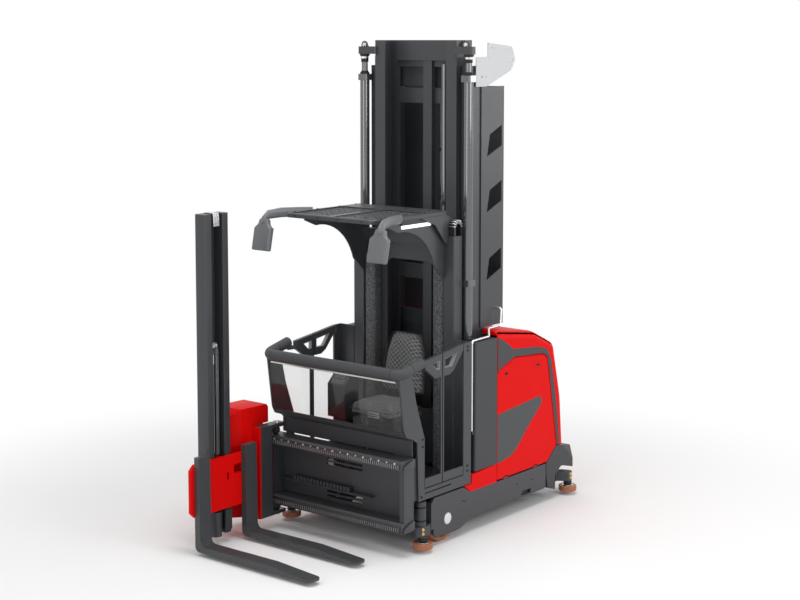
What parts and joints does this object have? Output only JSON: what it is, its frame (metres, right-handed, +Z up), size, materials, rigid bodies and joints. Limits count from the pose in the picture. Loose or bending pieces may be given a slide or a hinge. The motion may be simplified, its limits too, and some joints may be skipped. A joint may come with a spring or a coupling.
{
  "type": "three-way turret forklift",
  "caption": "Man-up very-narrow-aisle forklift: telescopic mast with a rising cab, toothed traverse frame and a swivelling auxiliary mast with two forks.",
  "frame": {"origin": "on the floor, on the centre plane, level with the axis of the front guide rollers", "axes": "+X to the truck's left, -Y forward towards the forks, +Z up"},
  "size_m": [1.667, 3.218, 3.8],
  "materials": {
    "anthracite": "satin",
    "red_paint": "satin",
    "dark_cover": "satin",
    "battery_case": "satin",
    "polyurethane": "satin",
    "bright_steel": "brushed",
    "cast_housing": "rough",
    "fin_metal": "satin",
    "hose_rubber": "gloss",
    "chrome_rod": "polished",
    "pad_foam": "grained",
    "clear_window": "clear",
    "mirror_shell": "satin",
    "seat_fabric": "woven",
    "rack_steel": "machined"
  },
  "bodies": {
    "chassis": {"chassis_frame": "anthracite", "battery_block": "battery_case", "side_strips": "red_paint", "pillar_covers": "dark_cover", "rear_hood": "dark_cover", "door_lugs": "anthracite", "corner_fairings": "dark_cover", "roller_brackets": "anthracite", "wheel_axles": "bright_steel", "mast_outer": "anthracite", "mast_back_plates": "anthracite", "mast_fins": "fin_metal", "lift_cylinders": "anthracite", "flank_hose": "hose_rubber"},
    "inner_mast": {"mast_inner": "anthracite", "mast_rods": "chrome_rod"},
    "cab": {"cab_carriage": "anthracite", "cab_rear_frame": "anthracite", "post_pads": "pad_foam", "cab_floor_frame": "anthracite", "cab_side_plates": "anthracite", "cab_front_panel": "dark_cover", "cab_window": "clear_window", "cab_hand_rail": "pad_foam", "roof_frame": "anthracite", "roof_grille": "anthracite", "mirrors": "mirror_shell", "seat_base": "dark_cover", "seat_cushion": "seat_fabric", "seat_back": "seat_fabric", "console": "dark_cover", "cable_carrier": "hose_rubber", "traverse_frame": "anthracite", "racks": "rack_steel", "energy_chain": "dark_cover"},
    "head": {"thrust_carriage": "anthracite", "head_housing": "red_paint"},
    "auxiliary_mast": {"aux_mast": "anthracite", "aux_cylinder": "anthracite"},
    "auxiliary_ram": {"aux_ram": "chrome_rod", "aux_chain": "rack_steel"},
    "forks": {"fork_carriage": "red_paint", "fork_front": "anthracite", "fork_rear": "anthracite"},
    "steering_unit": {"drive_unit": "cast_housing"},
    "door_left_body": {"door_left": "red_paint"},
    "door_right_body": {"door_right": "red_paint"},
    "guide_roller_front_left_body": {"guide_roller_front_left": "polyurethane"},
    "guide_roller_front_right_body": {"guide_roller_front_right": "polyurethane"},
    "guide_roller_rear_left_body": {"guide_roller_rear_left": "polyurethane"},
    "guide_roller_rear_right_body": {"guide_roller_rear_right": "polyurethane"},
    "load_wheel_left_body": {"load_wheel_left": "polyurethane"},
    "load_wheel_right_body": {"load_wheel_right": "polyurethane"},
    "gate_front_left_body": {"gate_front_left": "anthracite"},
    "gate_front_right_body": {"gate_front_right": "anthracite"},
    "gate_rear_left_body": {"gate_rear_left": "anthracite"},
    "gate_rear_right_body": {"gate_rear_right": "anthracite"},
    "drive_wheel_body": {"drive_wheel": "polyurethane"}
  },
  "joints": [
    {"name": "mast_lift", "type": "slide", "parent": "chassis", "child": "inner_mast", "axis": [0, 0, 1], "range_m": [0, 2.4]},
    {"name": "cab_lift", "type": "slide", "parent": "inner_mast", "child": "cab", "axis": [0, 0, 1], "range_m": [0, 2.4]},
    {"name": "traverse", "type": "slide", "parent": "cab", "child": "head", "axis": [1, 0, 0], "range_m": [0, 1.16]},
    {"name": "swivel", "type": "hinge", "parent": "head", "child": "auxiliary_mast", "pos_m": [-0.8, -0.815, 0.5], "axis": [0, 0, -1], "range_deg": [0, 180]},
    {"name": "auxiliary_lift", "type": "slide", "parent": "auxiliary_mast", "child": "forks", "axis": [0, 0, 1], "range_m": [0, 1.7]},
    {"name": "auxiliary_ram_slide", "type": "slide", "parent": "auxiliary_mast", "child": "auxiliary_ram", "axis": [0, 0, 1], "range_m": [0, 0.85]},
    {"name": "steer", "type": "hinge", "parent": "chassis", "child": "steering_unit", "pos_m": [0, 1.685, 0.5], "axis": [0, 0, 1], "range_deg": [-90, 90]},
    {"name": "drive_spin", "type": "hinge", "parent": "steering_unit", "child": "drive_wheel_body", "pos_m": [0, 1.685, 0.17], "axis": [1, 0, 0], "continuous": true},
    {"name": "load_wheel_spin_left", "type": "hinge", "parent": "chassis", "child": "load_wheel_left_body", "pos_m": [0.55, 0.305, 0.175], "axis": [1, 0, 0], "continuous": true},
    {"name": "guide_roller_spin_front_left", "type": "hinge", "parent": "chassis", "child": "guide_roller_front_left_body", "pos_m": [0.662, 0, 0.05], "axis": [0, 0, 1], "continuous": true},
    {"name": "guide_roller_spin_rear_left", "type": "hinge", "parent": "chassis", "child": "guide_roller_rear_left_body", "pos_m": [0.662, 1.988, 0.05], "axis": [0, 0, 1], "continuous": true},
    {"name": "gate_front_swing_left", "type": "hinge", "parent": "cab", "child": "gate_front_left_body", "pos_m": [0.634, 0.02, 0.9], "axis": [0, 0, 1], "range_deg": [0, 90]},
    {"name": "gate_rear_swing_left", "type": "hinge", "parent": "cab", "child": "gate_rear_left_body", "pos_m": [0.634, 0.51, 0.9], "axis": [0, 0, -1], "range_deg": [0, 90]},
    {"name": "door_swing_left", "type": "hinge", "parent": "chassis", "child": "door_left_body", "pos_m": [0.658, 1.3, 0.336], "axis": [0, 1, 0], "range_deg": [0, 80]},
    {"name": "load_wheel_spin_right", "type": "hinge", "parent": "chassis", "child": "load_wheel_right_body", "pos_m": [-0.55, 0.305, 0.175], "axis": [1, 0, 0], "continuous": true},
    {"name": "guide_roller_spin_front_right", "type": "hinge", "parent": "chassis", "child": "guide_roller_front_right_body", "pos_m": [-0.662, 0, 0.05], "axis": [0, 0, 1], "continuous": true},
    {"name": "guide_roller_spin_rear_right", "type": "hinge", "parent": "chassis", "child": "guide_roller_rear_right_body", "pos_m": [-0.662, 1.988, 0.05], "axis": [0, 0, 1], "continuous": true},
    {"name": "gate_front_swing_right", "type": "hinge", "parent": "cab", "child": "gate_front_right_body", "pos_m": [-0.634, 0.02, 0.9], "axis": [0, 0, -1], "range_deg": [0, 90]},
    {"name": "gate_rear_swing_right", "type": "hinge", "parent": "cab", "child": "gate_rear_right_body", "pos_m": [-0.634, 0.51, 0.9], "axis": [0, 0, 1], "range_deg": [0, 90]},
    {"name": "door_swing_right", "type": "hinge", "parent": "chassis", "child": "door_right_body", "pos_m": [-0.658, 1.3, 0.336], "axis": [0, -1, 0], "range_deg": [0, 80]}
  ],
  "couplings": [
    {"joint": "cab_lift", "follows": "mast_lift", "ratio": 1},
    {"joint": "auxiliary_ram_slide", "follows": "auxiliary_lift", "ratio": 0.5}
  ]
}
